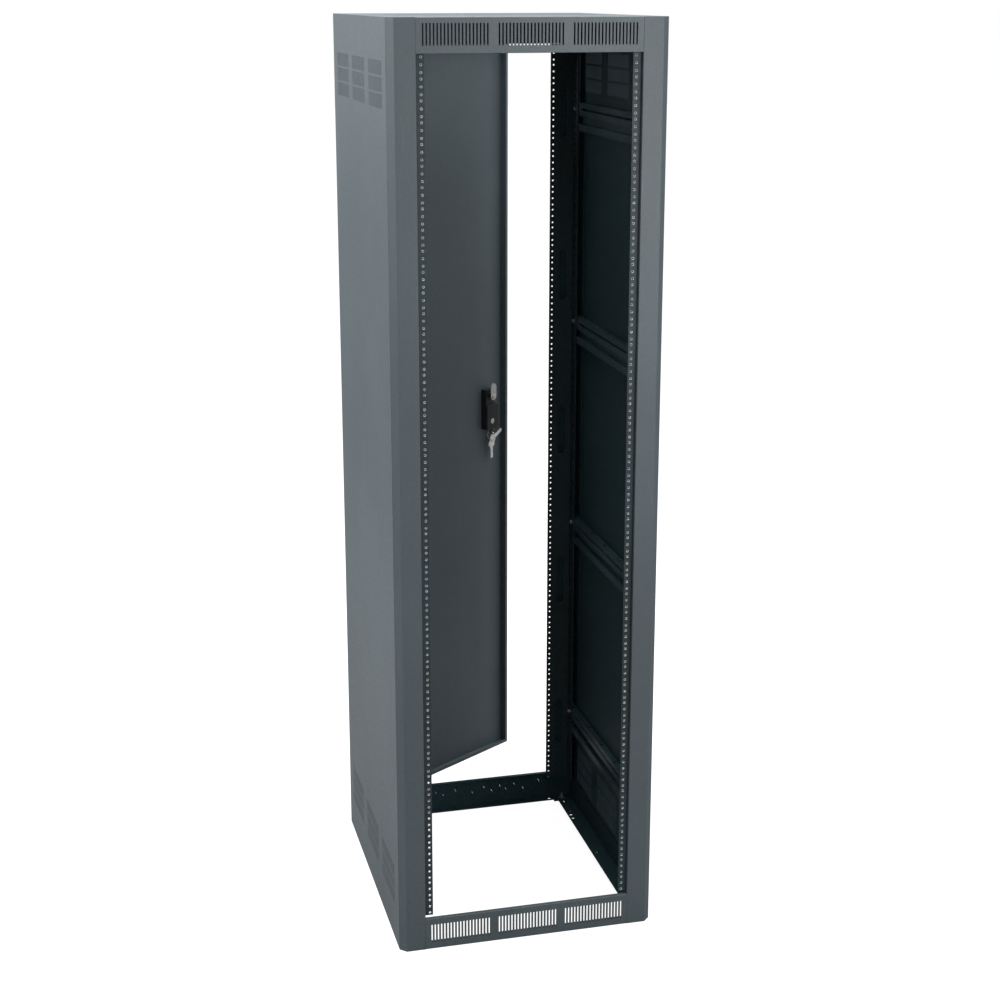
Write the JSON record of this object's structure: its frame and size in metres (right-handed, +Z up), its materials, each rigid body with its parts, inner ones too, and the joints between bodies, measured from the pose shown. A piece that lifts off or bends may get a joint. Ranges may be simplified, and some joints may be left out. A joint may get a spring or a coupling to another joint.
{
  "type": "network server rack cabinet",
  "caption": "Free-standing 19-inch equipment rack cabinet with an open front, slotted panels, square base and a hinged, latched rear door.",
  "frame": {"origin": "on the floor, under the middle of the closed cabinet, halfway between its side panels and halfway between its front face and its rear edges", "axes": "+X to the right seen from the open front, the open front faces -Y and the rear door is at +Y, +Z up"},
  "size_m": [0.6096, 1.0302, 2.1114],
  "materials": {
    "frame_paint": "fine-textured dark powder coat on the inner frame",
    "front_paint": "fine-textured charcoal powder coat",
    "side_paint": "fine-textured charcoal powder coat",
    "door_paint": "fine-textured charcoal powder coat",
    "rail_paint": "satin black powder coat",
    "zinc_fasteners": "clear zinc plate",
    "zinc_hardware": "clear zinc plate, a little dulled",
    "bushing_plastic": "plain nylon",
    "latch_plastic": "moulded black plastic",
    "lock_metal": "polished nickel plate",
    "key_metal": "nickel plate"
  },
  "bodies": {
    "cabinet": {"front_header": "front_paint", "front_sill": "front_paint", "left_front_stile": "front_paint", "right_front_stile": "front_paint", "left_side_panel": "side_paint", "right_side_panel": "side_paint", "top_panel": "front_paint", "left_rear_post": "frame_paint", "right_rear_post": "frame_paint", "left_base_channel": "frame_paint", "right_base_channel": "frame_paint", "rear_base_crossmember": "frame_paint", "rear_top_crossmember": "frame_paint", "left_lower_brace": "frame_paint", "right_lower_brace": "frame_paint", "left_lower_middle_brace": "frame_paint", "right_lower_middle_brace": "frame_paint", "left_upper_middle_brace": "frame_paint", "right_upper_middle_brace": "frame_paint", "left_upper_brace": "frame_paint", "right_upper_brace": "frame_paint", "left_front_rail": "rail_paint", "right_front_rail": "rail_paint", "left_rear_rail": "rail_paint", "right_rear_rail": "rail_paint", "front_rail_screws": "zinc_fasteners", "front_rail_nuts": "zinc_fasteners", "rear_rail_screws": "zinc_fasteners", "rear_rail_nuts": "zinc_fasteners", "ground_stud": "zinc_fasteners", "lower_hinge_bracket": "zinc_hardware", "upper_hinge_bracket": "zinc_hardware", "lower_hinge_pin": "zinc_hardware"},
    "rear_door": {"door_panel": "door_paint", "lower_door_bushing": "bushing_plastic", "upper_door_bushing": "bushing_plastic", "hinge_pin_guide": "zinc_hardware", "hinge_pin_spring": "zinc_hardware", "latch_housing": "latch_plastic"},
    "retractable_pin": {"upper_hinge_pin": "zinc_hardware"},
    "latch": {"latch_handle": "latch_plastic", "latch_cam": "zinc_hardware", "latch_cam_screw": "zinc_fasteners"},
    "lock": {"lock_cylinder": "lock_metal"},
    "ring": {"key_ring": "key_metal"},
    "first_key": {"hanging_key": "key_metal"},
    "second_key": {"raised_key": "key_metal"}
  },
  "joints": [
    {"name": "door_swing", "type": "hinge", "parent": "cabinet", "child": "rear_door", "pos_m": [-0.288, 0.34075, 0.5], "axis": [0, 0, 1], "range_deg": [-33.5, 66.5]},
    {"name": "pin_release", "type": "slide", "parent": "rear_door", "child": "retractable_pin", "axis": [0, 0, -1], "range_m": [0, 0.013], "stiffness_N_per_m": 600, "springref_m": -0.008, "deforming": ["hinge_pin_spring"]},
    {"name": "latch_turn", "type": "hinge", "parent": "rear_door", "child": "latch", "pos_m": [0.14395, 0.62665, 1.089], "axis": [-0.5519, 0.8339, 0], "range_deg": [0, 90]},
    {"name": "lock_turn", "type": "hinge", "parent": "rear_door", "child": "lock", "pos_m": [0.14937, 0.63024, 1.017], "axis": [-0.5519, 0.8339, 0], "range_deg": [0, 90]},
    {"name": "ring_swing", "type": "hinge", "parent": "rear_door", "child": "ring", "pos_m": [0.15186, 0.62649, 0.988], "axis": [-0.5519, 0.8339, 0], "range_deg": [-12, 12]},
    {"name": "first_key_swing", "type": "hinge", "parent": "ring", "child": "first_key", "pos_m": [0.15186, 0.62649, 0.9607], "axis": [-0.5519, 0.8339, 0], "range_deg": [-30, 30]},
    {"name": "second_key_swing", "type": "hinge", "parent": "ring", "child": "second_key", "pos_m": [0.15186, 0.62649, 0.9607], "axis": [0.5519, -0.8339, 0], "range_deg": [-122, 0]}
  ]
}
